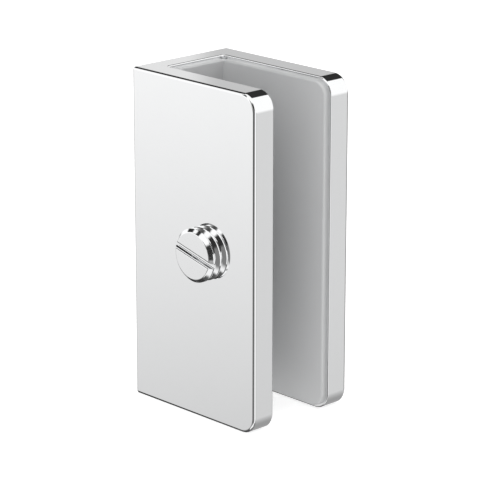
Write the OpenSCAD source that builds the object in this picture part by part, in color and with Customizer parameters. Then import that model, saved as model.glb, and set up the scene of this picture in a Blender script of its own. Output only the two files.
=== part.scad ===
// Glass panel clamp for one pane of 8 mm glass.
//
// Frame: the origin is the centre of the wall face. +X points away from the wall, towards the
// open side of the channel, Y runs across the channel and +Z is up. The clamp screw enters
// from -Y and drives the pressure plate towards +Y. All sizes are in millimetres.

/* [Body] */
// Height of the U-shaped body
body_h = 50; // [46:1:80]
// Depth of the body, from the wall face to the free ends of the cheeks
body_d = 25.5; // [25:0.5:30]
// Width of the body across both cheeks
body_w = 18.7; // [18:0.1:22]
// Thickness of each cheek
cheek_t = 3.7; // [3:0.1:4]
// Thickness of the web that sits on the wall
web_t = 3.4; // [2.8:0.1:3.6]
// Radius of the four free corners of the cheeks
end_r = 2.7; // [1.5:0.1:5]
// Radius of the polished outer edges
edge_r = 0.45; // [0.2:0.01:0.6]
// Radius of the edges round the mouth of the channel
mouth_r = 0.2; // [0.1:0.05:0.5]
// Radius inside the channel, where each cheek meets the web
root_r = 0.5; // [0.4:0.1:0.7]

/* [Wall fixing] */
// Distance between the two wall screws
wall_pitch = 25; // [20:1:30]
// Clearance hole for each wall screw
wall_hole_d = 4.5; // [3.5:0.1:5]
// Mouth of each countersink
sink_d = 8.2; // [7:0.1:8.4]

/* [Liner] */
// Thickness of the liner and of the jaw pad
liner_t = 0.85; // [0.6:0.05:1]
// How far the liner stops short of the cheek's free end
liner_end_gap = 0.5; // [0.3:0.01:1]
// How far the liner stops short of the body's top and bottom
liner_top_gap = 0.5; // [0.2:0.05:1]
// Rounding of the open edges of the liner and the pad
liner_edge_r = 0.3; // [0.1:0.05:0.4]
// Hole in the liner through which each wall screw is reached
access_d = 8.4; // [7.5:0.1:8.6]

/* [Moving jaw] */
// Thickness of the pressure plate
plate_t = 1.2; // [1:0.1:1.4]
// Height of the pressure plate
plate_h = 42; // [30:1:44]
// Width of the pressure plate, along the depth of the channel
plate_w = 18; // [14:0.5:18]
// Distance from the plate's outer edge to the free ends of the cheeks
plate_end_gap = 2.6; // [2.5:0.1:3]
// Radius of the plate's corners
plate_r = 2; // [1:0.5:4]
// Margin of bare plate around the pad
pad_margin = 0.4; // [0.2:0.1:1]

/* [Clamp screw] */
// Distance from the wall face to the screw's axis
screw_x = 16.5; // [14:0.1:18]
// Height of the screw's axis above the middle of the body
screw_z = 0.8; // [-5:0.1:5]
// Outside diameter of the thread
thread_d = 7.9; // [7:0.1:8]
// Pitch of the right-handed thread
pitch = 1.25; // [1:0.25:1.25]
// How far the screw stands out of the cheek when the clamp is open
stand_out = 3.6; // [1.5:0.1:5]
// Diameter of the flat face of the screw, inside its bevel
face_d = 6.9; // [5:0.1:7]
// Width of the screwdriver slot
slot_w = 1.1; // [0.8:0.1:1.6]
// Depth of the screwdriver slot
slot_depth = 0.8; // [0.6:0.1:2]
// Slant of the slot, falling away from the wall
slot_slant = 14; // [0:1:90]
// Diameter of the plain point that seats in the pressure plate
point_d = 5.5; // [4:0.1:6]
// Depth to which the point seats in the plate
seat_depth = 0.8; // [0.5:0.1:0.9]

/* [Hidden] */

$fn = 96;
lap = 0.2;                            // how far a cutter reaches past what it cuts
fit_play = 0.05;                      // radial play of a turning fit, and air behind the plate
gap = body_w - 2 * cheek_t;           // width of the bare channel
face_in = gap / 2;                    // from mid-plane to the inner face of a cheek
half_h = body_h / 2;

liner_face = face_in - liner_t;       // from mid-plane to the face of the liner
liner_half_h = half_h - liner_top_gap;
liner_root_r = 0.35;                  // inside corner of the liner
liner_heel_r = root_r + 0.4;          // outside corner, clear of the radius in the body
liner_tip_r = 0.6;                    // corners of the liner's narrow wing on the web

plate_x = body_d - plate_end_gap - plate_w; // edge of the plate nearest the web
plate_back = fit_play - face_in;      // back of the open plate, on Y

thread_r = thread_d / 2;
thread_depth = 0.5413 * pitch;        // 60 degree metric thread, flats of P/8 and P/4
thread_flat = pitch / 8;
thread_flank = 5 / 16 * pitch;
thread_steps = 32;                    // straight facets in one turn of the thread
shank_play = 0.1;                     // air between the thread's end and the plate
shank_l = stand_out + cheek_t + fit_play - shank_play;

// ------------------------------------------------------------------ rounded edges

// Cross-section of what a rounded edge loses, with the centre of its arc at the origin
module edge_section(r) {
    difference() {
        square(r + lap);
        circle(r = r);
    }
}

// Straight edge along +X with the solid towards -Y and -Z; the arc's centre is the X axis
module edge_cut(length, r) {
    rotate([90, 0, 90]) linear_extrude(height = length) edge_section(r);
}

// The same edge taken a quarter turn round an outward bend, from +X to +Y
module bend_cut(bend, r) {
    rotate_extrude(angle = 90) translate([bend - r, 0]) edge_section(r);
}

// The same edge taken a quarter turn round an inward bend, with the solid outside it
module root_cut(bend, r) {
    rotate_extrude(angle = 90) translate([bend + r, 0]) mirror([1, 0]) edge_section(r);
}

// Corner where three rounded edges meet, with the solid towards -X, -Y and -Z
module corner_cut(r) {
    difference() {
        cube(r + lap);
        sphere(r = r);
    }
}

// Rounded rim of a plate whose face lies in the XY plane, facing +Z: along one long side,
// round the corner, down the free end, round the other corner and back
module rim_cut(from_x, to_x, half_width, bend, r) {
    for (side = [0, 1]) mirror([0, side, 0]) {
        translate([from_x, half_width - r, -r]) edge_cut(to_x - bend - from_x, r);
        translate([to_x - bend, half_width - bend, -r]) bend_cut(bend, r);
    }
    translate([to_x - r, half_width - bend, -r])
        rotate([0, 0, -90]) edge_cut(2 * (half_width - bend), r);
}

// ------------------------------------------------------------------ outlines and frames

// Outline of a plate that is square at from_x and has two round corners at to_x
module tongue(from_x, to_x, half_width, bend) {
    translate([from_x, -half_width]) square([to_x - bend - from_x, 2 * half_width]);
    translate([from_x, bend - half_width]) square([to_x - from_x, 2 * (half_width - bend)]);
    for (side = [-1, 1])
        translate([to_x - bend, side * (half_width - bend)]) circle(r = bend);
}

// Outline of a plate with four round corners, centred on the origin
module pad_outline(width, height, bend) {
    for (side = [0, 1]) mirror([side, 0]) tongue(0, width / 2, height / 2, bend);
}

// Stands the XY plane up as a plane across Y that faces -Y or +Y, with X kept
module facing_front() { rotate([90, 0, 0]) children(); }
module facing_back() { rotate([-90, 0, 0]) children(); }

// Stands the XY plane up as the web's plane, facing +X, with its X turned to -Y
module facing_out() { rotate([-90, 0, 0]) rotate([0, 90, 0]) children(); }

// ------------------------------------------------------------------ clamp body

// Plan of the channel, with a small radius at the foot of each cheek
module channel_plan() {
    translate([web_t + root_r, -face_in]) square([body_d, gap]);
    translate([web_t, root_r - face_in]) square([body_d, gap - 2 * root_r]);
    for (side = [-1, 1])
        translate([web_t + root_r, side * (face_in - root_r)]) circle(r = root_r);
}

// Sharp-edged body: the side view of a cheek crossed with the U of the plan
module body_blank() {
    intersection() {
        translate([0, body_w / 2, 0]) facing_front()
            linear_extrude(height = body_w) tongue(0, body_d, half_h, end_r);
        translate([0, 0, -half_h]) linear_extrude(height = body_h) difference() {
            translate([0, -body_w / 2]) square([body_d, body_w]);
            channel_plan();
        }
    }
}

// Rounded edges of the cheek at +Y: outer rim, inner rim and the upright edge at the wall
module cheek_edges() {
    translate([0, body_w / 2, 0]) facing_back()
        rim_cut(edge_r, body_d, half_h, end_r, edge_r);
    translate([0, face_in, 0]) facing_front()
        rim_cut(web_t + root_r, body_d, half_h, end_r, mouth_r);
    translate([edge_r, body_w / 2 - edge_r, edge_r - half_h])
        rotate([0, 0, 90]) linear_extrude(height = body_h - 2 * edge_r) edge_section(edge_r);
}

// Rounded edges at the top of the web, and the bends that carry them on to the cheeks
module web_edges() {
    translate([0, 0, half_h - edge_r]) {
        translate([edge_r, edge_r - body_w / 2, 0])
            rotate([0, 0, 90]) edge_cut(body_w - 2 * edge_r, edge_r);
        for (side = [0, 1]) mirror([0, side, 0])
            translate([edge_r, body_w / 2 - edge_r, 0])
                rotate([0, 0, 90]) corner_cut(edge_r);
    }
    translate([0, 0, half_h - mouth_r]) {
        translate([web_t - mouth_r, face_in - root_r, 0])
            rotate([0, 0, -90]) edge_cut(gap - 2 * root_r, mouth_r);
        for (side = [0, 1]) mirror([0, side, 0])
            translate([web_t + root_r, face_in - root_r, 0])
                rotate([0, 0, 90]) root_cut(root_r, mouth_r);
    }
}

// Countersunk hole through the web, with its mouth in the channel
module wall_hole() {
    rotate([0, 90, 0]) {
        translate([0, 0, -lap]) cylinder(d = wall_hole_d, h = web_t + 2 * lap);
        translate([0, 0, web_t - (sink_d - wall_hole_d) / 2])
            cylinder(d1 = wall_hole_d, d2 = sink_d, h = (sink_d - wall_hole_d) / 2);
    }
}

// The one-piece U body
module clamp_body() {
    color([0.86, 0.87, 0.88]) difference() {
        body_blank();
        for (side = [0, 1]) mirror([0, side, 0]) cheek_edges();
        for (side = [0, 1]) mirror([0, 0, side]) web_edges();
        for (side = [-1, 1]) translate([0, 0, side * wall_pitch / 2]) wall_hole();
        translate([screw_x, -body_w / 2 - lap, screw_z]) facing_back()
            cylinder(d = thread_d + 2 * fit_play, h = cheek_t + 2 * lap);
    }
}

// ------------------------------------------------------------------ liner

// Wing of the liner on the fixed cheek, and its narrow wing on the web
module liner_blank() {
    translate([0, face_in, 0]) facing_front() linear_extrude(height = liner_t)
        tongue(web_t, body_d - liner_end_gap, liner_half_h, end_r - liner_end_gap);
    translate([web_t, 0, 0]) facing_out() linear_extrude(height = liner_t)
        tongue(-face_in, liner_face, liner_half_h, liner_tip_r);
    translate([web_t + liner_t, liner_face, -liner_half_h]) rotate([0, 0, -90])
        linear_extrude(height = 2 * liner_half_h) difference() {
            square(liner_root_r);
            translate([liner_root_r, liner_root_r]) circle(r = liner_root_r);
        }
}

// Rounded open edges of both wings, and of the corner between them
module liner_edges() {
    translate([0, liner_face, 0]) facing_front()
        rim_cut(web_t + liner_t + liner_root_r, body_d - liner_end_gap, liner_half_h,
                end_r - liner_end_gap, liner_edge_r);
    translate([web_t + liner_t, 0, 0]) facing_out()
        rim_cut(liner_root_r - liner_face, liner_face, liner_half_h, liner_tip_r, liner_edge_r);
    for (side = [0, 1]) mirror([0, 0, side])
        translate([web_t + liner_t + liner_root_r, liner_face - liner_root_r,
                   liner_half_h - liner_edge_r])
            rotate([0, 0, 90]) root_cut(liner_root_r, liner_edge_r);
}

// Moulded liner, one piece round the corner, with a hole over each wall screw
module channel_liner() {
    color([0.80, 0.81, 0.82]) difference() {
        liner_blank();
        liner_edges();
        translate([web_t + liner_heel_r, face_in - liner_heel_r, -half_h])
            rotate([0, 0, 90]) linear_extrude(height = body_h) edge_section(liner_heel_r);
        for (side = [-1, 1]) translate([web_t - lap, 0, side * wall_pitch / 2])
            rotate([0, 90, 0]) cylinder(d = access_d, h = liner_t + 2 * lap);
    }
}

// ------------------------------------------------------------------ moving jaw

// Steel plate that spreads the screw's thrust, with a blind seat for its point
module pressure_plate() {
    color([0.70, 0.71, 0.72]) difference() {
        translate([plate_x + plate_w / 2, plate_back, 0]) facing_back()
            linear_extrude(height = plate_t) pad_outline(plate_w, plate_h, plate_r);
        translate([screw_x, plate_back - lap, screw_z]) facing_back()
            cylinder(d = point_d + 2 * fit_play, h = seat_depth + lap);
    }
}

// Pad bonded to the plate, which meets the glass
module jaw_pad() {
    pad_w = plate_w - 2 * pad_margin;
    pad_h = plate_h - 2 * pad_margin;
    pad_r = plate_r - pad_margin;
    color([0.80, 0.81, 0.82])
        translate([plate_x + plate_w / 2, plate_back + plate_t, 0]) facing_back()
            difference() {
                linear_extrude(height = liner_t) pad_outline(pad_w, pad_h, pad_r);
                translate([0, 0, liner_t]) for (side = [0, 1]) mirror([side, 0, 0])
                    rim_cut(0, pad_w / 2, pad_h / 2, pad_r, liner_edge_r);
            }
}

// ------------------------------------------------------------------ clamp screw

// Four helical lines bound one ridge of the thread: foot, crest, crest, foot
ridge_r = [thread_r - thread_depth, thread_r, thread_r, thread_r - thread_depth];
ridge_z = [0, thread_flank, thread_flank + thread_flat, 2 * thread_flank + thread_flat];

// Point on helical line j after i facets
function helix_point(i, j) = let (a = 360 * i / thread_steps)
    [ridge_r[j] * cos(a), ridge_r[j] * sin(a), pitch * i / thread_steps + ridge_z[j]];

// Index of that point in the list, and the two triangles of a four-sided patch
function at(i, j) = 4 * i + j;
function patch(a, b, c, d) = [[a, b, c], [a, c, d]];

// Solid threaded rod round +Z with ramped ends, so many turns long. The ridge is swept along
// its helix, a root flat joins each turn to the next, and a fan from the axis closes each end.
module threaded_rod(turns) {
    last = turns * thread_steps;
    points = concat(
        [for (i = [0 : last], j = [0 : 3]) helix_point(i, j)],
        [[0, 0, 0], [0, 0, helix_point(last, 3)[2]]]);
    low = len(points) - 2;
    high = len(points) - 1;
    ridge = [for (i = [0 : last - 1], j = [0 : 2])
        each patch(at(i, j), at(i, j + 1), at(i + 1, j + 1), at(i + 1, j))];
    root = [for (i = [0 : last - thread_steps - 1])
        each patch(at(i, 3), at(i + thread_steps, 0), at(i + thread_steps + 1, 0), at(i + 1, 3))];
    low_ramp = [for (i = [0 : thread_steps - 1]) [low, at(i, 0), at(i + 1, 0)]];
    high_ramp = [for (i = [last - thread_steps : last - 1]) [high, at(i + 1, 3), at(i, 3)]];
    low_step = concat([[low, at(thread_steps, 0), at(0, 3)]],
        [for (j = [3 : -1 : 1]) [low, at(0, j), at(0, j - 1)]]);
    high_step = concat([[high, at(last - thread_steps, 3), at(last, 0)]],
        [for (j = [0 : 2]) [high, at(last, j), at(last, j + 1)]]);
    polyhedron(points, concat(ridge, root, low_ramp, high_ramp, low_step, high_step));
}

// Turned envelope of the shank: flat face, bevel, clear of the crests, bevel at the inner end
module shank_envelope() {
    outer_r = thread_r + lap;
    rotate_extrude() polygon([
        [0, 0],
        [face_d / 2, 0],
        [outer_r, outer_r - face_d / 2],
        [outer_r, shank_l - outer_r + point_d / 2 + fit_play],
        [point_d / 2 + fit_play, shank_l],
        [0, shank_l]]);
}

// Headless slotted screw, along +Z from its face
module slotted_screw() {
    difference() {
        union() {
            intersection() {
                translate([0, 0, -2 * pitch]) threaded_rod(ceil(shank_l / pitch) + 4);
                shank_envelope();
            }
            translate([0, 0, shank_l - lap])
                cylinder(d = point_d, h = lap + shank_play + seat_depth);
        }
        translate([-thread_d / 2 - lap, -slot_w / 2, -lap])
            cube([thread_d + 2 * lap, slot_w, slot_depth + lap]);
    }
}

// The screw in its open position
module clamp_screw() {
    color([0.86, 0.87, 0.88]) translate([screw_x, -body_w / 2 - stand_out, screw_z])
        rotate([0, slot_slant, 0]) facing_back() slotted_screw();
}

clamp_body();
channel_liner();
clamp_screw();
pressure_plate();
jaw_pad();
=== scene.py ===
"""Glass panel clamp: the visual model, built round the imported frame.

A polished U-shaped body goes on the wall by its web. A moulded liner protects the pane on the
web and the fixed cheek, and a jaw behind the other cheek is driven by a headless slotted screw.

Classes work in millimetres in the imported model's own frame: +X points away from the wall, the
screw enters from -Y and +Z is up. A mesh is scaled to metres when its piece is finished.
"""

import logging
import math
from dataclasses import dataclass
from enum import Enum
from typing import Callable, Iterable, Sequence

import bmesh
import bpy
from mathutils import Matrix, Vector


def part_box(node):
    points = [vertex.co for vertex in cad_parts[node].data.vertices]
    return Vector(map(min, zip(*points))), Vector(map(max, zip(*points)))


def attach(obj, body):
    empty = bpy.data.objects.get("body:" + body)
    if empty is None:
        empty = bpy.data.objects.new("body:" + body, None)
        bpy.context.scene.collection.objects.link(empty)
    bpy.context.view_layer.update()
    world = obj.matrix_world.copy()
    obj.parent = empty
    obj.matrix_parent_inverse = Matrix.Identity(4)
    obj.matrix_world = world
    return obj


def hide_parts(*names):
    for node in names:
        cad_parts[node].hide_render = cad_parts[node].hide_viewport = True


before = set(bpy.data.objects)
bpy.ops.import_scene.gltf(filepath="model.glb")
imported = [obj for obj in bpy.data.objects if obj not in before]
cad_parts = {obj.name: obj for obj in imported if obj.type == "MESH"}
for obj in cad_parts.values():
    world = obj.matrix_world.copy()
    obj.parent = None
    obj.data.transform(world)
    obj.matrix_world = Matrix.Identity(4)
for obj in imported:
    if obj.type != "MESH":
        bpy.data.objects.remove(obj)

Solid = bmesh.types.BMesh
Edge = bmesh.types.BMEdge
Socket = bpy.types.NodeSocket
Profile = Sequence[tuple[float, float]]

MM = 0.001
FULL_TURN = 2 * math.pi
TO_X = Matrix.Rotation(math.radians(90), 4, "Y")
TO_Y = Matrix.Rotation(math.radians(-90), 4, "X")

FLAT_WITHIN = 0.05  # degrees; neighbours that turn by less become one flat face
MERGE = 1e-4  # mm; corners nearer to each other than this are one
AXIS_MERGE = 1e-5  # mm; the same, for a solid turned about an axis
NEAR = 0.01  # mm; slack in telling on which side of a face an edge lies
PAST = 1.0  # mm by which a cutter reaches past the face that it opens
HOLE_FACETS = 64
WALL_HOLES = (-12.5, 12.5)  # mm; heights of the two wall screws

log = logging.getLogger("glass_panel_clamp")


# ---------------------------------------- names shared with the frame


class Body(Enum):
    """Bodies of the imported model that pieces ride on."""

    FRAME = "body"
    JAW = "jaw"
    SCREW = "screw"


class Slot(Enum):
    """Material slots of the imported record."""

    BODY = "polished_chrome"
    SCREW = "screw_chrome"
    PLASTIC = "liner_plastic"
    STEEL = "plate_steel"


class Cut(Enum):
    """Ways in which one solid shapes another."""

    AWAY = "DIFFERENCE"
    COMMON = "INTERSECT"
    JOIN = "UNION"


@dataclass(frozen=True)
class Box:
    """Lowest and highest corner of a solid, in millimetres."""

    low: Vector
    high: Vector

    @classmethod
    def of_node(cls, node: str) -> "Box":
        """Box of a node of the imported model.

        Args:
            node: Name of the node.

        Returns:
            Its box in millimetres.
        """
        low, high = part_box(node)
        return cls(low / MM, high / MM)

    @property
    def size(self) -> Vector:
        """Lengths of the box's sides."""
        return self.high - self.low


# ---------------------------------------- mesh steps


def verts_of(geometry: Iterable) -> list[bmesh.types.BMVert]:
    """Vertices among the elements that an operator gave back."""
    return [item for item in geometry if isinstance(item, bmesh.types.BMVert)]


def prism(outline: Sequence[Sequence[float]], pull: Sequence[float]) -> Solid:
    """Solid made by pulling a flat outline.

    Args:
        outline: Corners of the outline, in order.
        pull: Vector along which the outline is pulled.

    Returns:
        The closed solid.
    """
    solid = bmesh.new()
    face = solid.faces.new([solid.verts.new(corner) for corner in outline])
    pulled = bmesh.ops.extrude_face_region(solid, geom=[face])
    bmesh.ops.translate(solid, verts=verts_of(pulled["geom"]), vec=pull)
    bmesh.ops.recalc_face_normals(solid, faces=solid.faces)
    return solid


def arc(middle: tuple[float, float], radius: float, start: float, end: float,
        steps: int = 5) -> list[tuple[float, float]]:
    """Points along an arc.

    Args:
        middle: Centre of the arc.
        radius: Its radius.
        start: Angle of the first point, in degrees.
        end: Angle of the last point.
        steps: Straight steps along the arc.

    Returns:
        The points, in order.
    """
    angles = [math.radians(start + (end - start) * step / steps) for step in range(steps + 1)]
    return [(middle[0] + radius * math.cos(angle), middle[1] + radius * math.sin(angle))
            for angle in angles]


def turned(profile: Profile, steps: int = 96) -> Solid:
    """Solid turned about the Z axis.

    Args:
        profile: Radius and height of each corner, from the axis back to the axis.
        steps: Number of facets round the axis.

    Returns:
        The closed solid.
    """
    solid = bmesh.new()
    corners = [solid.verts.new((radius, 0.0, height)) for radius, height in profile]
    edges = [solid.edges.new(pair) for pair in zip(corners, corners[1:])]
    bmesh.ops.spin(solid, geom=corners + edges, cent=(0, 0, 0), axis=(0, 0, 1), dvec=(0, 0, 0),
                   angle=FULL_TURN, steps=steps, use_merge=True, use_duplicate=False)
    bmesh.ops.remove_doubles(solid, verts=solid.verts, dist=AXIS_MERGE)
    bmesh.ops.recalc_face_normals(solid, faces=solid.faces)
    return solid


def round_edges(solid: Solid, wanted: Callable[[Edge], bool], radius: float,
                segments: int) -> None:
    """Rounds the edges that pass a test.

    Args:
        solid: Solid that is changed.
        wanted: Test that an edge has to pass.
        radius: Radius of the rounding.
        segments: Facets across the rounding.
    """
    edges = [edge for edge in solid.edges if wanted(edge)]
    bmesh.ops.bevel(solid, geom=edges, offset=radius, offset_type="OFFSET", affect="EDGES",
                    segments=segments, profile=0.5, material=-1, clamp_overlap=False)


def is_sharp(edge: Edge, least: float = 0.5) -> bool:
    """Whether the faces of an edge meet at more than an angle, in radians."""
    return edge.is_manifold and edge.calc_face_angle() > least


def both_ends(edge: Edge, axis: int, value: float) -> bool:
    """Whether both ends of an edge lie at one value of a coordinate."""
    return all(abs(vert.co[axis] - value) < MERGE for vert in edge.verts)


def placed(solid: Solid, matrix: Matrix) -> Solid:
    """The same solid, moved by a matrix."""
    bmesh.ops.transform(solid, matrix=matrix, verts=solid.verts)
    return solid


def blended_normals(solid: Solid, blend_below: float) -> list[Vector]:
    """Normals that keep flat faces flat and run smoothly over the rounded ones.

    Args:
        solid: Solid whose face normals are up to date.
        blend_below: Faces that turn by less than this, in degrees, are blended.

    Returns:
        A normal for each corner of each face, in order.
    """
    limit = math.cos(math.radians(blend_below))
    weight = {face: face.calc_area() ** 2 for face in solid.faces}
    normals = []
    for face in solid.faces:
        for vert in face.verts:
            near = [other for other in vert.link_faces if other.normal.dot(face.normal) > limit]
            total = sum((other.normal * weight[other] for other in near), Vector())
            normals.append(total.normalized())
    return normals


def scratch_object(solid: Solid, name: str) -> bpy.types.Object:
    """Object in the scene that holds a solid, and frees it.

    Args:
        solid: Solid that goes into the object.
        name: Name of the object.

    Returns:
        The linked object.
    """
    mesh = bpy.data.meshes.new(name)
    solid.to_mesh(mesh)
    solid.free()
    holder = bpy.data.objects.new(name, mesh)
    bpy.context.scene.collection.objects.link(holder)
    return holder


def shaped(solid: Solid, tool: Solid, cut: Cut) -> Solid:
    """Solid that another one has shaped.

    Args:
        solid: Solid to shape; it is used up.
        tool: Solid that shapes it; it is used up.
        cut: What the tool does.

    Returns:
        The new solid.
    """
    blank = scratch_object(solid, "blank")
    shaper = scratch_object(tool, "shaper")
    modifier = blank.modifiers.new("shape", "BOOLEAN")
    modifier.operation = cut.value
    modifier.solver = "EXACT"
    modifier.object = shaper
    depsgraph = bpy.context.evaluated_depsgraph_get()
    mesh = bpy.data.meshes.new_from_object(blank.evaluated_get(depsgraph))
    result = bmesh.new()
    result.from_mesh(mesh)
    for holder in (blank, shaper):
        bpy.data.meshes.remove(holder.data)
    bpy.data.meshes.remove(mesh)
    bmesh.ops.remove_doubles(result, verts=result.verts, dist=MERGE)
    bmesh.ops.dissolve_degenerate(result, edges=result.edges, dist=MERGE)
    return result


# ---------------------------------------- shader helpers


# Where a Mix node keeps its first value, its second value and its result.
MIX_SOCKETS = {"FLOAT": (2, 3, 0), "RGBA": (6, 7, 2)}
FLOAT = "NodeSocketFloat"
VECTOR = "NodeSocketVector"


class Shader:
    """Short way to place and join nodes in one tree."""

    def __init__(self, tree: bpy.types.NodeTree) -> None:
        """Keeps the tree that nodes are placed in."""
        self.tree = tree

    def node(self, kind: str, **settings: object) -> bpy.types.Node:
        """A new node.

        Args:
            kind: Type of the node.
            **settings: Properties of the node.

        Returns:
            The node.
        """
        node = self.tree.nodes.new(kind)
        for name, value in settings.items():
            setattr(node, name, value)
        return node

    def join(self, source: Socket, target: Socket) -> None:
        """Links an output to an input."""
        self.tree.links.new(source, target)

    def feed(self, socket: Socket, value: object) -> None:
        """Links an output to an input, or sets the input.

        Args:
            socket: The input.
            value: An output, or the value that the input takes.
        """
        if isinstance(value, Socket):
            self.join(value, socket)
        else:
            socket.default_value = value

    def fill(self, node: bpy.types.Node, **values: object) -> bpy.types.Node:
        """Sets or links a node's inputs.

        Args:
            node: Node whose inputs are filled.
            **values: A number, a colour or an output for each input, with _ for a space.

        Returns:
            The node.
        """
        for name, value in values.items():
            self.feed(node.inputs[name.replace("_", " ")], value)
        return node

    def math(self, operation: str, *values: object) -> Socket:
        """Result of a Math node.

        Args:
            operation: Operation of the node.
            *values: Numbers or outputs for its inputs.

        Returns:
            The node's output.
        """
        node = self.node("ShaderNodeMath", operation=operation)
        for socket, value in zip(node.inputs, values):
            self.feed(socket, value)
        return node.outputs[0]

    def noise(self, **values: object) -> Socket:
        """Value of a noise texture with its inputs filled."""
        return self.fill(self.node("ShaderNodeTexNoise"), **values).outputs[0]

    def relief(self, **values: object) -> Socket:
        """Normal of a bump node with its inputs filled."""
        return self.fill(self.node("ShaderNodeBump"), **values).outputs["Normal"]

    def blend(self, factor: object, first: object, second: object,
              kind: str = "FLOAT") -> Socket:
        """Mix of two numbers or two colours.

        Args:
            factor: Share of the second one.
            first: Value or output.
            second: Value or output.
            kind: FLOAT for numbers, RGBA for colours.

        Returns:
            The mix.
        """
        node = self.node("ShaderNodeMix", data_type=kind, clamp_factor=True)
        first_at, second_at, result_at = MIX_SOCKETS[kind]
        for index, value in ((0, factor), (first_at, first), (second_at, second)):
            self.feed(node.inputs[index], value)
        return node.outputs[result_at]

    def group(self, group: bpy.types.NodeTree, **values: object) -> bpy.types.Node:
        """A placed node group with its inputs filled."""
        return self.fill(self.node("ShaderNodeGroup", node_tree=group), **values)


def new_group(name: str, inputs: dict[str, str],
              outputs: dict[str, str]) -> tuple[Shader, bpy.types.Node, bpy.types.Node]:
    """Empty shader node group.

    Args:
        name: Name of the group.
        inputs: Socket type of each input.
        outputs: Socket type of each output.

    Returns:
        The group's shader helper, its input node and its output node.
    """
    tree = bpy.data.node_groups.new(name, "ShaderNodeTree")
    for label, kind in inputs.items():
        tree.interface.new_socket(label, in_out="INPUT", socket_type=kind)
    for label, kind in outputs.items():
        tree.interface.new_socket(label, in_out="OUTPUT", socket_type=kind)
    shader = Shader(tree)
    return shader, shader.node("NodeGroupInput"), shader.node("NodeGroupOutput")


class Effects:
    """Node groups that several finishes use, built once."""

    FINE_PER_SOFT = 9.0
    CLEAN_BELOW = 0.18
    SWELL_SHARE = 3.0

    def __init__(self) -> None:
        """Builds the groups."""
        self.handling = self._handling()
        self.grain = self._grain()

    @staticmethod
    def _handling() -> bpy.types.NodeTree:
        """Faint wipe marks: a mask that rises where a surface was handled.

        Returns:
            Group with the inputs Vector, Scale and Amount, and the output Mask.
        """
        shader, inside, outside = new_group(
            "handling_marks", {"Vector": VECTOR, "Scale": FLOAT, "Amount": FLOAT},
            {"Mask": FLOAT})
        given = inside.outputs
        soft = shader.noise(Vector=given["Vector"], Scale=given["Scale"], Detail=2.0,
                            Roughness=0.5, Distortion=0.6)
        fine_scale = shader.math("MULTIPLY", given["Scale"], Effects.FINE_PER_SOFT)
        fine = shader.noise(Vector=given["Vector"], Scale=fine_scale, Detail=4.0)
        both = shader.math("MULTIPLY", soft, fine)
        raised = shader.math("SUBTRACT", both, Effects.CLEAN_BELOW)
        scaled = shader.math("MULTIPLY", raised, given["Amount"])
        shader.join(shader.math("MAXIMUM", scaled, 0.0), outside.inputs["Mask"])
        return shader.tree

    @staticmethod
    def _grain() -> bpy.types.NodeTree:
        """Fine surface relief over a slow swell.

        Returns:
            Group with the inputs Vector, Fine Scale and Swell Scale, and the output Height.
        """
        shader, inside, outside = new_group(
            "surface_grain", {"Vector": VECTOR, "Fine Scale": FLOAT, "Swell Scale": FLOAT},
            {"Height": FLOAT})
        given = inside.outputs
        fine = shader.noise(Vector=given["Vector"], Scale=given["Fine Scale"], Detail=3.0)
        swell = shader.noise(Vector=given["Vector"], Scale=given["Swell Scale"], Detail=1.0)
        total = shader.math("MULTIPLY_ADD", swell, Effects.SWELL_SHARE, fine)
        shader.join(total, outside.inputs["Height"])
        return shader.tree


# ---------------------------------------- finishes


@dataclass(frozen=True)
class Finish:
    """What every finish has: a name, a colour, a roughness and its darkest shade."""

    name: str
    color: tuple[float, float, float, float]
    roughness: float
    shade: float = 0.8

    def start(self) -> tuple[bpy.types.Material, Shader, bpy.types.Node, Socket]:
        """New material with its shader and object coordinates.

        Returns:
            The material, the shader helper, the Principled node and the coordinates.
        """
        material = bpy.data.materials.new(self.name)
        material.use_nodes = True
        shader = Shader(material.node_tree)
        surface = material.node_tree.nodes["Principled BSDF"]
        place = shader.node("ShaderNodeTexCoord")
        return material, shader, surface, place.outputs["Object"]

    def tinted(self, shader: Shader, mask: Socket) -> Socket:
        """Colour that darkens to the finish's shade where a mask rises to 1."""
        dark = tuple(part * self.shade for part in self.color[:3]) + (1.0,)
        return shader.blend(mask, self.color, dark, "RGBA")


@dataclass(frozen=True)
class PolishedMetal(Finish):
    """Plated metal: mirror bright, with a trace of wipe marks and polishing swell."""

    marks: float = 0.25
    swell: float = 0.0
    dulling: float = 0.4

    def material(self, effects: Effects) -> bpy.types.Material:
        """The metal's material.

        Args:
            effects: Shared node groups.

        Returns:
            The material.
        """
        material, shader, surface, place = self.start()
        marks = shader.group(effects.handling, Vector=place, Scale=90.0, Amount=self.marks)
        mask = marks.outputs["Mask"]
        shader.fill(surface, Metallic=1.0, Base_Color=self.tinted(shader, mask),
                    Roughness=shader.math("MULTIPLY_ADD", mask, self.dulling, self.roughness))
        if self.swell > 0:
            grain = shader.group(effects.grain, Vector=place, Fine_Scale=900.0, Swell_Scale=120.0)
            shader.fill(surface, Normal=shader.relief(Strength=self.swell, Distance=1e-6,
                                                      Height=grain.outputs["Height"]))
        return material


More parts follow.
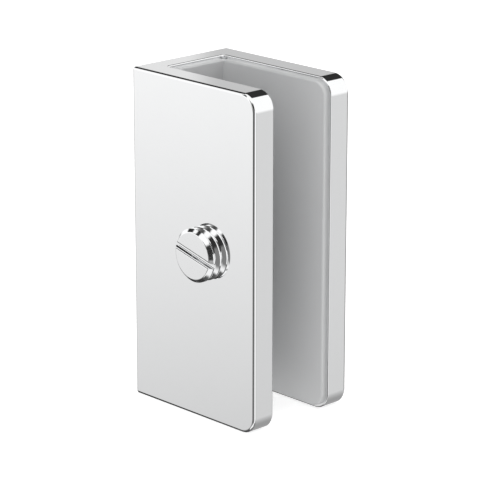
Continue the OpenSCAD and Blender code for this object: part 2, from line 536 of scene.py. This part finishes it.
@dataclass(frozen=True)
class BrushedMetal(Finish):
    """Stamped steel with straight brushing along its height."""

    stretch: float = 40.0

    def material(self, effects: Effects) -> bpy.types.Material:
        """The steel's material.

        Args:
            effects: Shared node groups.

        Returns:
            The material.
        """
        material, shader, surface, place = self.start()
        along = shader.node("ShaderNodeMapping")
        shader.fill(along, Vector=place, Scale=(self.stretch, self.stretch, 1.0))
        lines = shader.noise(Vector=along.outputs["Vector"], Scale=120.0, Detail=5.0)
        marks = shader.group(effects.handling, Vector=place, Scale=60.0, Amount=0.5)
        shader.fill(surface, Metallic=1.0, Base_Color=self.tinted(shader, lines),
                    Roughness=shader.math("ADD", marks.outputs["Mask"], self.roughness),
                    Normal=shader.relief(Strength=0.5, Distance=4e-6, Height=lines))
        return material


@dataclass(frozen=True)
class MouldedPlastic(Finish):
    """Pale satin plastic with the fine skin of its mould."""

    grain: float = 0.35

    def material(self, effects: Effects) -> bpy.types.Material:
        """The plastic's material.

        Args:
            effects: Shared node groups.

        Returns:
            The material.
        """
        material, shader, surface, place = self.start()
        cloud = shader.noise(Vector=place, Scale=140.0, Detail=3.0)
        marks = shader.group(effects.handling, Vector=place, Scale=110.0, Amount=0.6)
        skin = shader.group(effects.grain, Vector=place, Fine_Scale=4200.0, Swell_Scale=160.0)
        shader.fill(surface, Base_Color=self.tinted(shader, cloud), Specular_IOR_Level=1.0,
                    Roughness=shader.math("ADD", marks.outputs["Mask"], self.roughness),
                    Normal=shader.relief(Strength=self.grain, Distance=3e-6,
                                         Height=skin.outputs["Height"]))
        return material


@dataclass(frozen=True)
class Workshop:
    """Finished materials, ready to go on pieces."""

    body: bpy.types.Material
    screw: bpy.types.Material
    plastic: bpy.types.Material
    steel: bpy.types.Material

    @classmethod
    def stocked(cls) -> "Workshop":
        """Builds the four finishes of the clamp.

        Returns:
            The materials.
        """
        effects = Effects()
        chrome = (0.90, 0.905, 0.91, 1)
        return cls(
            body=PolishedMetal("polished_chrome", chrome, 0.05, marks=0.12,
                               swell=0.3).material(effects),
            screw=PolishedMetal("screw_chrome", chrome, 0.07, marks=0.2).material(effects),
            plastic=MouldedPlastic("moulded_plastic", (0.62, 0.625, 0.63, 1), 0.32,
                                   shade=0.965).material(effects),
            steel=BrushedMetal("brushed_steel", (0.62, 0.63, 0.64, 1), 0.3).material(effects))


def finish_piece(solid: Solid, name: str, material: bpy.types.Material, body: Body,
                 node: str, smooth_below: float = 35.0) -> bpy.types.Object:
    """Turns a solid into a finished piece that stands for a node.

    Args:
        solid: Solid in millimetres; it is used up.
        name: Name of the piece.
        material: Its material.
        body: Body that it rides on.
        node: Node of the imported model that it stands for.
        smooth_below: Edges that turn by less than this, in degrees, are shaded smooth.

    Returns:
        The piece.
    """
    bmesh.ops.dissolve_limit(solid, angle_limit=math.radians(FLAT_WITHIN), verts=solid.verts,
                             edges=solid.edges)
    bmesh.ops.recalc_face_normals(solid, faces=solid.faces)
    for face in solid.faces:
        face.smooth = True
    normals = blended_normals(solid, smooth_below)
    bmesh.ops.scale(solid, vec=(MM, MM, MM), verts=solid.verts)
    piece = scratch_object(solid, name)
    piece.data.normals_split_custom_set(normals)
    piece.data.materials.append(material)
    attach(piece, body.value)
    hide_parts(node)
    log.info("%s: %d faces, rides on %s", name, len(piece.data.polygons), body.value)
    return piece


# ---------------------------------------- clamp screw


@dataclass(frozen=True)
class Thread:
    """Sixty-degree thread with rounded crests and roots, along Z."""

    diameter: float = 7.9
    pitch: float = 1.25
    facets: int = 72
    easing: float = 0.12
    foot_spread: float = 1.6
    crest_spread: float = 1.3
    crown_drop: float = 0.02
    spare_turns: int = 4

    @property
    def depth(self) -> float:
        """Height of the ridge."""
        return 0.5413 * self.pitch

    def ridge(self) -> list[tuple[float, float]]:
        """One pitch of the profile, from root to root.

        Returns:
            Radius and height of each corner.
        """
        radius = self.diameter / 2
        foot = radius - self.depth
        flank = 5 / 16 * self.pitch
        flat = self.pitch / 8
        high = 2 * flank + flat
        ease = self.easing * self.depth
        foot_run = self.easing * flank * self.foot_spread
        crest_run = self.easing * flank * self.crest_spread
        crown = radius - self.crown_drop * self.depth
        return [
            (foot, 0.0),
            (foot + ease, foot_run),
            (radius - ease, flank - crest_run),
            (crown, flank + 0.25 * flat),
            (crown, flank + 0.75 * flat),
            (radius - ease, flank + flat + crest_run),
            (foot + ease, high - foot_run),
            (foot, high),
            (foot, self.pitch)]

    def rod(self, low: float, high: float, start: float) -> Solid:
        """Threaded rod cut square at both ends.

        Args:
            low: Height of the lower end.
            high: Height of the upper end.
            start: Height at which the ridge starts at zero angle.

        Returns:
            The closed solid.
        """
        turns = math.ceil((high - low) / self.pitch) + self.spare_turns
        solid = bmesh.new()
        corners = [solid.verts.new((radius, 0.0, start + height))
                   for radius, height in self.ridge()]
        edges = [solid.edges.new(pair) for pair in zip(corners, corners[1:])]
        bmesh.ops.spin(solid, geom=corners + edges, cent=(0, 0, 0), axis=(0, 0, 1),
                       dvec=(0, 0, self.pitch / self.facets), angle=FULL_TURN * turns,
                       steps=turns * self.facets, use_merge=False, use_duplicate=False)
        bmesh.ops.remove_doubles(solid, verts=solid.verts, dist=MERGE)
        for height, inner, outer in ((low, True, False), (high, False, True)):
            bmesh.ops.bisect_plane(solid, geom=solid.verts[:] + solid.edges[:] + solid.faces[:],
                                   plane_co=(0, 0, height), plane_no=(0, 0, 1),
                                   clear_inner=inner, clear_outer=outer)
            rim = [edge for edge in solid.edges
                   if edge.is_boundary and both_ends(edge, 2, height)]
            bmesh.ops.edgeloop_fill(solid, edges=rim)
        bmesh.ops.recalc_face_normals(solid, faces=solid.faces)
        return solid


@dataclass(frozen=True)
class ClampScrew:
    """Headless slotted screw, modelled along Z from its face and then stood along +Y."""

    axis_x: float = 16.5
    axis_z: float = 0.8
    thread: Thread = Thread()
    face_radius: float = 3.45
    face_lip: float = 0.25
    bevel_margin: float = 0.3
    thread_start: float = 0.28
    turns_before: int = 3
    rod_margin: float = 0.5
    lead_length: float = 0.6
    lead_reach: float = 0.4
    lead_inset: float = 0.03
    slot_width: float = 0.78
    slot_depth: float = 0.8
    slot_offset: float = 0.15
    slot_lip: float = 0.22
    slot_root: float = 0.2
    slot_slant: float = 14.0
    point_diameter: float = 5.5
    point_length: float = 0.9
    point_overlap: float = 0.2
    point_ease: float = 0.15
    point_gap: float = 0.05

    @property
    def box(self) -> Box:
        """Box of the node that the screw stands for."""
        return Box.of_node("clamp_screw")

    @property
    def stand(self) -> Matrix:
        """Matrix that stands the screw in its place.

        Returns:
            The matrix.
        """
        place = Matrix.Translation((self.axis_x, self.box.low.y, self.axis_z))
        slant = Matrix.Rotation(math.radians(self.slot_slant), 4, "Y")
        return place @ slant @ TO_Y

    @property
    def shank_length(self) -> float:
        """Length from the face to the end of the thread."""
        return self.box.size.y - self.point_length

    def envelope(self) -> Solid:
        """Turned outline of the shank: flat face, eased lip and a bevel at each end.

        Returns:
            The outline as a closed solid.
        """
        clear = self.thread.diameter / 2 + self.bevel_margin
        end = self.shank_length
        inner = self.point_diameter / 2 + self.point_gap
        tangent = self.face_lip * math.tan(math.radians(22.5))
        lip = arc((self.face_radius - tangent, self.face_lip), self.face_lip, -90, -45)
        return turned([(0, 0), *lip, (clear, clear - self.face_radius),
                       (clear, end - clear + inner), (inner, end), (0, end)])

    def lead(self) -> Solid:
        """Plain collar behind the face, where the thread runs out.

        Returns:
            The collar as a closed solid.
        """
        crest = self.thread.diameter / 2 - self.lead_inset
        foot = crest - self.thread.depth
        end = self.lead_length + self.thread.depth / 2
        return turned([(0, -self.lead_reach), (crest, -self.lead_reach),
                       (crest, self.lead_length), (foot, end), (0, end)])

    def slot_cutter(self) -> Solid:
        """Saw cut across the face with eased lips and rounded inner corners.

        Returns:
            The cutter, along +X.
        """
        reach = self.thread.diameter
        half, lip, root = self.slot_width / 2, self.slot_lip, self.slot_root
        side = [(half + lip, -reach)]
        side += arc((half + lip, lip), lip, -90, -180)
        side += arc((half - root, self.slot_depth - root), root, 0, 90)
        other = [(-y, z) for y, z in reversed(side)]
        cutter = prism([(-reach, y, z) for y, z in side + other], (2 * reach, 0, 0))
        return placed(cutter, Matrix.Translation((0, -self.slot_offset, 0)))

    def point(self) -> Solid:
        """Plain turned point that seats in the pressure plate.

        Returns:
            The point as a closed solid.
        """
        radius = self.point_diameter / 2
        top = self.box.size.y
        root = self.shank_length - self.point_overlap
        return turned([(0, root), (radius, root), (radius, top - self.point_ease),
                       (radius - self.point_ease, top), (0, top)])

    def build(self, workshop: Workshop) -> bpy.types.Object:
        """Builds the screw.

        Args:
            workshop: Materials.

        Returns:
            The finished piece.
        """
        start = self.thread_start - self.turns_before * self.thread.pitch
        rod = self.thread.rod(-self.rod_margin, self.shank_length + self.rod_margin, start)
        rod = shaped(rod, self.lead(), Cut.JOIN)
        shank = shaped(rod, self.envelope(), Cut.COMMON)
        shank = shaped(shank, self.point(), Cut.JOIN)
        shank = shaped(shank, self.slot_cutter(), Cut.AWAY)
        piece = finish_piece(placed(shank, self.stand), "slotted_screw", workshop.screw,
                             Body.SCREW, "clamp_screw", smooth_below=28.0)
        piece.visible_glossy = False
        return piece


# ---------------------------------------- clamp body


@dataclass(frozen=True)
class ClampBody:
    """One-piece U body with polished edges, two countersunk holes and the screw's bore."""

    cheek: float = 3.7
    web: float = 3.4
    corner: float = 2.7
    edge: float = 0.45
    mouth: float = 0.2
    root: float = 0.5
    hole: float = 4.5
    sink: float = 8.2
    hole_ease: float = 0.15
    bore: float = 8.0
    bore_ease: float = 0.05

    @property
    def box(self) -> Box:
        """Box of the node that the body stands for."""
        return Box.of_node("clamp_body")

    def blank(self) -> Solid:
        """U-shaped bar with its round corners and rounded edges.

        Returns:
            The solid before it is drilled.
        """
        low, high = self.box.low, self.box.high
        inner = high.y - self.cheek
        plan = [(low.x, low.y), (high.x, low.y), (high.x, -inner), (self.web, -inner),
                (self.web, inner), (high.x, inner), (high.x, high.y), (low.x, high.y)]
        solid = prism([(x, y, low.z) for x, y in plan], (0, 0, self.box.size.z))

        def is_free_corner(edge: Edge) -> bool:
            """Whether an edge is the top or bottom of a cheek's free end."""
            level = both_ends(edge, 2, low.z) or both_ends(edge, 2, high.z)
            return level and both_ends(edge, 0, high.x)

        def is_root(edge: Edge) -> bool:
            """Whether an edge is the foot of a cheek in the channel."""
            upright = abs(edge.verts[0].co.z - edge.verts[1].co.z) > 1
            return upright and both_ends(edge, 0, self.web)

        def is_mouth(edge: Edge) -> bool:
            """Whether an edge is sharp and bounds the mouth of the channel."""
            inside = all(abs(vert.co.y) < inner + NEAR and vert.co.x > self.web - NEAR
                         for vert in edge.verts)
            return inside and is_sharp(edge)

        round_edges(solid, is_free_corner, self.corner, segments=28)
        round_edges(solid, is_root, self.root, segments=8)
        round_edges(solid, is_mouth, self.mouth, segments=5)
        round_edges(solid, is_sharp, self.edge, segments=6)
        return solid

    def wall_hole(self, height: float) -> Solid:
        """Cutter for one countersunk hole.

        Args:
            height: Height of the hole's axis.

        Returns:
            The cutter, along +X.
        """
        radius, mouth, ease = self.hole / 2, self.sink / 2, self.hole_ease
        cutter = turned([
            (0, -PAST), (radius + ease + PAST, -PAST), (radius + ease, 0), (radius, ease),
            (radius, self.web - mouth + radius), (mouth, self.web),
            (mouth + ease, self.web + 0.5 * ease), (mouth + ease, self.web + PAST),
            (0, self.web + PAST)], HOLE_FACETS)
        return placed(cutter, Matrix.Translation((self.box.low.x, 0, height)) @ TO_X)

    def screw_bore(self, screw: ClampScrew) -> Solid:
        """Cutter for the bore that takes the screw, with eased mouths.

        Args:
            screw: Screw whose axis the bore follows.

        Returns:
            The cutter, along +Y.
        """
        radius, ease = self.bore / 2, self.bore_ease
        cutter = turned([
            (0, -PAST), (radius + PAST + ease, -PAST), (radius, ease),
            (radius, self.cheek - ease), (radius + PAST + ease, self.cheek + PAST),
            (0, self.cheek + PAST)])
        place = Matrix.Translation((screw.axis_x, self.box.low.y, screw.axis_z))
        return placed(cutter, place @ TO_Y)

    def build(self, workshop: Workshop, screw: ClampScrew) -> bpy.types.Object:
        """Builds the body.

        Args:
            workshop: Materials.
            screw: Screw that the body carries.

        Returns:
            The finished piece.
        """
        solid = self.blank()
        for height in WALL_HOLES:
            solid = shaped(solid, self.wall_hole(height), Cut.AWAY)
        solid = shaped(solid, self.screw_bore(screw), Cut.AWAY)
        return finish_piece(solid, "u_body", workshop.body, Body.FRAME, "clamp_body")


# ---------------------------------------- liner


@dataclass(frozen=True)
class ChannelLiner:
    """Moulded liner, one piece round the corner of the channel."""

    thickness: float = 0.85
    corner: float = 2.2
    tip: float = 0.6
    inner_root: float = 0.15
    heel: float = 0.9
    edge: float = 0.3
    access: float = 8.4
    access_ease: float = 0.12

    def blank(self) -> Solid:
        """L-shaped moulding with round corners and edges.

        Returns:
            The solid before its holes.
        """
        box = Box.of_node("channel_liner")
        low, high = box.low, box.high
        web_face, cheek_face = low.x + self.thickness, high.y - self.thickness
        plan = [(low.x, low.y), (web_face, low.y), (web_face, cheek_face), (high.x, cheek_face),
                (high.x, high.y), (low.x, high.y)]
        solid = prism([(x, y, low.z) for x, y in plan], (0, 0, box.size.z))

        def upright_at(x: float, y: float) -> Callable[[Edge], bool]:
            """Test for the upright edge at a place in the plan."""
            return lambda edge: both_ends(edge, 0, x) and both_ends(edge, 1, y)

        def level_at(axis: int, value: float) -> Callable[[Edge], bool]:
            """Test for the top and bottom edges at one value of a coordinate."""
            return lambda edge: both_ends(edge, axis, value) and (
                both_ends(edge, 2, low.z) or both_ends(edge, 2, high.z))

        def is_open(edge: Edge) -> bool:
            """Whether an edge is sharp and on the side that the pane meets."""
            middle = (edge.verts[0].co + edge.verts[1].co) / 2
            hidden = middle.y > high.y - NEAR or middle.x < low.x + NEAR
            return is_sharp(edge) and not hidden

        round_edges(solid, level_at(0, high.x), self.corner, segments=20)
        round_edges(solid, level_at(1, low.y), self.tip, segments=8)
        round_edges(solid, upright_at(web_face, cheek_face), self.inner_root, segments=6)
        round_edges(solid, upright_at(low.x, high.y), self.heel, segments=8)
        round_edges(solid, is_open, self.edge, segments=6)
        return solid

    def access_hole(self, height: float) -> Solid:
        """Cutter for the hole over one wall screw.

        Args:
            height: Height of the hole's axis.

        Returns:
            The cutter, along +X.
        """
        radius, ease = self.access / 2, self.access_ease
        cutter = turned([
            (0, -PAST), (radius, -PAST), (radius, self.thickness - ease),
            (radius + ease, self.thickness), (radius + ease, 2 * PAST), (0, 2 * PAST)],
            HOLE_FACETS)
        low = Box.of_node("channel_liner").low
        return placed(cutter, Matrix.Translation((low.x, 0, height)) @ TO_X)

    def build(self, workshop: Workshop) -> bpy.types.Object:
        """Builds the liner.

        Args:
            workshop: Materials.

        Returns:
            The finished piece.
        """
        solid = self.blank()
        for height in WALL_HOLES:
            solid = shaped(solid, self.access_hole(height), Cut.AWAY)
        return finish_piece(solid, "moulded_liner", workshop.plastic, Body.FRAME,
                            "channel_liner")


# ---------------------------------------- moving jaw


@dataclass(frozen=True)
class MovingJaw:
    """Pressure plate with the screw's seat, and the pad bonded to it."""

    plate_corner: float = 2.0
    pad_corner: float = 1.6
    plate_edge: float = 0.12
    pad_edge: float = 0.3
    seat: float = 5.6
    seat_depth: float = 0.8

    @staticmethod
    def slab(box: Box, corner: float, edge: float, open_side: float) -> Solid:
        """Plate with round corners and one eased rim.

        Args:
            box: Box of the plate.
            corner: Radius of the corners.
            edge: Radius of the eased rim.
            open_side: Place on Y of the face whose rim is eased.

        Returns:
            The solid.
        """
        low, high = box.low, box.high
        corners = [(low.x, low.z), (high.x, low.z), (high.x, high.z), (low.x, high.z)]
        solid = prism([(x, low.y, z) for x, z in corners], (0, box.size.y, 0))

        def is_corner(candidate: Edge) -> bool:
            """Whether an edge runs through the plate."""
            return abs(candidate.verts[0].co.y - candidate.verts[1].co.y) > box.size.y / 2

        def is_rim(candidate: Edge) -> bool:
            """Whether an edge bounds the open face."""
            return is_sharp(candidate) and both_ends(candidate, 1, open_side)

        round_edges(solid, is_corner, corner, segments=16)
        round_edges(solid, is_rim, edge, segments=5)
        return solid

    def build_plate(self, workshop: Workshop, screw: ClampScrew) -> bpy.types.Object:
        """Builds the pressure plate.

        Args:
            workshop: Materials.
            screw: Screw that seats in the plate.

        Returns:
            The finished piece.
        """
        box = Box.of_node("pressure_plate")
        solid = self.slab(box, self.plate_corner, self.plate_edge, box.low.y)
        radius = self.seat / 2
        drill = turned([(0, -PAST), (radius, -PAST), (radius, self.seat_depth),
                        (0, self.seat_depth)])
        place = Matrix.Translation((screw.axis_x, box.low.y, screw.axis_z))
        solid = shaped(solid, placed(drill, place @ TO_Y), Cut.AWAY)
        return finish_piece(solid, "jaw_plate", workshop.steel, Body.JAW, "pressure_plate")

    def build_pad(self, workshop: Workshop) -> bpy.types.Object:
        """Builds the pad.

        Args:
            workshop: Materials.

        Returns:
            The finished piece.
        """
        box = Box.of_node("jaw_pad")
        solid = self.slab(box, self.pad_corner, self.pad_edge, box.high.y)
        return finish_piece(solid, "jaw_facing", workshop.plastic, Body.JAW, "jaw_pad")


# ---------------------------------------- studio


@dataclass(frozen=True)
class Card:
    """Panel round the object that polished metal mirrors, placed by direction in degrees.

    Azimuth is counted from +Y towards +X.
    """

    name: str
    azimuth: float
    half_width: float
    elevation: float
    half_height: float
    level: float
    softness: float = 2.0


@dataclass(frozen=True)
class Studio:
    """Plain pale floor, even light, the cards that the metal mirrors, and the camera."""

    camera_place: tuple[float, float, float] = (262.636, -238.665, 103.870)
    camera_yaw: float = 46.316
    camera_pitch: float = 16.777
    lens: float = 185.480
    floor_reach: float = 4000.0
    floor_level: float = 0.8
    floor_glow: float = 0.6
    changeover: float = 0.25

    def camera(self) -> None:
        """Places the camera and makes it the scene's."""
        data = bpy.data.cameras.new("camera")
        data.lens = self.lens
        data.sensor_width = 36.0
        data.clip_end = 100.0
        camera = bpy.data.objects.new("camera", data)
        bpy.context.scene.collection.objects.link(camera)
        camera.location = Vector(self.camera_place) * MM
        tilt = math.radians(90 - self.camera_pitch)
        camera.rotation_euler = (tilt, 0, math.radians(self.camera_yaw))
        bpy.context.scene.camera = camera

    def floor(self, height: float) -> None:
        """Lays the floor under the object.

        Args:
            height: Height of the floor in millimetres.
        """
        solid = bmesh.new()
        bmesh.ops.create_grid(solid, x_segments=1, y_segments=1, size=self.floor_reach * MM)
        bmesh.ops.translate(solid, verts=solid.verts, vec=(0, 0, height * MM))
        floor = scratch_object(solid, "floor")
        material = bpy.data.materials.new("pale_floor")
        material.use_nodes = True
        shader = Shader(material.node_tree)
        surface = material.node_tree.nodes["Principled BSDF"]
        shader.fill(surface, Base_Color=(*[self.floor_level] * 3, 1), Roughness=1.0,
                    Specular_IOR_Level=0.0)
        path = shader.node("ShaderNodeLightPath")
        seen = shader.node("ShaderNodeEmission")
        glow = shader.math("MULTIPLY", path.outputs["Is Camera Ray"], self.floor_glow)
        shader.fill(seen, Strength=glow)
        total = shader.node("ShaderNodeAddShader")
        shader.join(surface.outputs[0], total.inputs[0])
        shader.join(seen.outputs[0], total.inputs[1])
        shader.join(total.outputs[0], material.node_tree.nodes["Material Output"].inputs[0])
        floor.data.materials.append(material)
        floor.visible_glossy = False
        floor.visible_diffuse = False
        floor.visible_shadow = False

    @staticmethod
    def card_mask() -> bpy.types.NodeTree:
        """Soft rectangle in azimuth and elevation.

        Returns:
            Group whose output Mask is 1 on the card.
        """
        names = ("Azimuth", "Elevation", "Centre", "Half Width", "Height", "Half Height", "Soft")
        shader, inside, outside = new_group("studio_card", {name: FLOAT for name in names},
                                            {"Mask": FLOAT})
        given = inside.outputs
        turn = shader.math("SUBTRACT", given["Azimuth"], given["Centre"])
        across = shader.math("ABSOLUTE", shader.math("WRAP", turn, 180.0, -180.0))
        rise = shader.math("SUBTRACT", given["Elevation"], given["Height"])
        beside = shader.math("SUBTRACT", across, given["Half Width"])
        above = shader.math("SUBTRACT", shader.math("ABSOLUTE", rise), given["Half Height"])
        outer = shader.math("MAXIMUM", beside, above)
        ramp = shader.node("ShaderNodeMapRange", interpolation_type="SMOOTHSTEP")
        shader.fill(ramp, Value=outer, From_Min=given["Soft"],
                    From_Max=shader.math("MULTIPLY", given["Soft"], -1.0), To_Min=0.0, To_Max=1.0)
        shader.join(ramp.outputs["Result"], outside.inputs["Mask"])
        return shader.tree

    @staticmethod
    def height_ramp(shader: Shader, elevation: Socket, stops: Profile) -> Socket:
        """Level that changes with elevation.

        Args:
            shader: Helper of the world's tree.
            elevation: Elevation in degrees.
            stops: Elevation and level of each stop, from low to high.

        Returns:
            The level.
        """
        curve = shader.node("ShaderNodeFloatCurve")
        points = curve.mapping.curves[0].points
        curve.mapping.extend = "HORIZONTAL"
        top = 2.0  # level at the curve's full height
        for index, (angle, level) in enumerate(stops):
            place = ((angle + 90) / 180, level / top)
            if index < 2:
                points[index].location = place
            else:
                points.new(*place)
        for point in points:
            point.handle_type = "VECTOR"
        curve.mapping.update()
        share = shader.math("MULTIPLY_ADD", elevation, 1 / 180, 0.5)
        shader.fill(curve, Value=share)
        return shader.math("MULTIPLY", curve.outputs[0], top)

    def world(self, front: Profile, rear: Profile, cards: Sequence[Card], soft: Profile,
              lamps: Sequence[Card]) -> None:
        """Lights the scene softly, and gives the metal a studio to mirror.

        Args:
            front: Stops of elevation and level on the screw's side of the object.
            rear: The same on the far side.
            cards: Cards in front of that, the last one nearest.
            soft: Stops of elevation and level of the light on the matt pieces.
            lamps: Soft boxes in that light.
        """
        world = bpy.data.worlds.new("studio")
        world.use_nodes = True
        bpy.context.scene.world = world
        shader = Shader(world.node_tree)
        direction = shader.node("ShaderNodeTexCoord").outputs["Generated"]
        parts = shader.node("ShaderNodeSeparateXYZ")
        shader.join(direction, parts.inputs[0])
        across = shader.math("ARCTAN2", parts.outputs["X"], parts.outputs["Y"])
        azimuth = shader.math("DEGREES", across)
        elevation = shader.math("DEGREES", shader.math("ARCSINE", parts.outputs["Z"]))
        side = shader.node("ShaderNodeMapRange", interpolation_type="SMOOTHSTEP")
        shader.fill(side, Value=parts.outputs["Y"], From_Min=-self.changeover,
                    From_Max=self.changeover)
        walls = shader.blend(side.outputs["Result"], self.height_ramp(shader, elevation, front),
                             self.height_ramp(shader, elevation, rear))
        mask_group = self.card_mask()

        def behind(level: Socket, panels: Sequence[Card]) -> Socket:
            """Level with panels in front of it.

            Args:
                level: Level behind the panels.
                panels: The panels, the last one nearest.

            Returns:
                The level in each direction.
            """
            for card in panels:
                mask = shader.group(mask_group, Azimuth=azimuth, Elevation=elevation,
                                    Centre=card.azimuth, Half_Width=card.half_width,
                                    Height=card.elevation, Half_Height=card.half_height,
                                    Soft=card.softness)
                mask.label = card.name
                level = shader.blend(mask.outputs["Mask"], level, card.level)
            return level

        path = shader.node("ShaderNodeLightPath")
        lit = behind(self.height_ramp(shader, elevation, soft), lamps)
        room = shader.blend(path.outputs["Is Glossy Ray"], lit, behind(walls, cards))
        strength = shader.math("MAXIMUM", room, path.outputs["Is Camera Ray"])
        background = world.node_tree.nodes["Background"]
        shader.fill(background, Color=(1, 1, 1, 1), Strength=strength)

    def build(self, floor_height: float) -> None:
        """Sets up the whole studio.

        Args:
            floor_height: Height of the floor in millimetres.
        """
        bpy.context.scene.view_settings.view_transform = "Standard"
        self.camera()
        self.floor(floor_height)
        front = [(-90, 0.08), (-45, 0.1), (-34, 0.22), (-26, 0.5), (-19.6, 0.76), (-12.6, 1.02),
                 (-5, 1.12), (90, 1.12)]
        rear = [(-90, 0.2), (-45, 0.36), (-34, 0.5), (-18, 0.72), (-12, 0.74), (-2, 1.1),
                (90, 1.1)]
        cards = [
            Card("grey wall behind", -56, 20, 8, 15, 0.82, 4.0),
            Card("grey step behind", -30, 17.2, 8, 15, 0.59, 0.4),
            Card("dark skirting behind", -4, 40, -16, 9, 0.2, 3.0),
            Card("grey wall on the left", -97, 17, -15, 14, 0.45, 4.0),
            Card("black flag overhead", -55, 59, 42.5, 19, 0.03, 1.5),
            Card("bright floor in front", 165, 38, -54, 14, 1.0, 6.0),
            Card("dark floor on the left", -90, 35, -66, 14, 0.04, 6.0),
            Card("dark skirting on the left", -90, 38, -36, 11, 0.03, 2.5),
            Card("grey panel in front", 160, 24, -15, 19, 0.22, 4.0),
            Card("dark panel in front", 164, 27, 14, 14, 0.03, 3.0),
            Card("dark side panel", 139, 12, 14, 28, 0.03, 3.0),
            Card("dark panel above the camera", -143, 11, 40, 19, 0.03, 3.0),
            Card("dark post beside the camera", -163, 16, -17, 13, 0.04, 3.0),
            Card("bright wall on the right", 118, 16, -20, 25, 1.15, 3.0),
            Card("grey wall on the right", 76, 14, -16, 12, 0.62, 6.0)]
        soft = [(-90, 0.9), (-45, 0.8), (-20, 0.3), (35, 0.3), (60, 1.1), (90, 1.5)]
        lamps = [
            Card("soft box behind on the right", 38, 32, 0, 48, 1.6, 12.0),
            Card("dim side", 88, 20, 0, 42, 0.2, 12.0),
            Card("soft box in front", 156, 36, 10, 42, 1.45, 10.0)]
        self.world(front, rear, cards, soft, lamps)


# ---------------------------------------- the whole clamp


def main() -> None:
    """Builds the clamp piece by piece, then the studio round it."""
    logging.basicConfig(level=logging.INFO, format="%(name)s: %(message)s")
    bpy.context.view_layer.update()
    workshop = Workshop.stocked()
    screw = ClampScrew()
    ClampBody().build(workshop, screw)
    ChannelLiner().build(workshop)
    screw.build(workshop)
    jaw = MovingJaw()
    jaw.build_plate(workshop, screw)
    jaw.build_pad(workshop)
    Studio().build(Box.of_node("clamp_body").low.z)


if __name__ == "__main__":
    main()
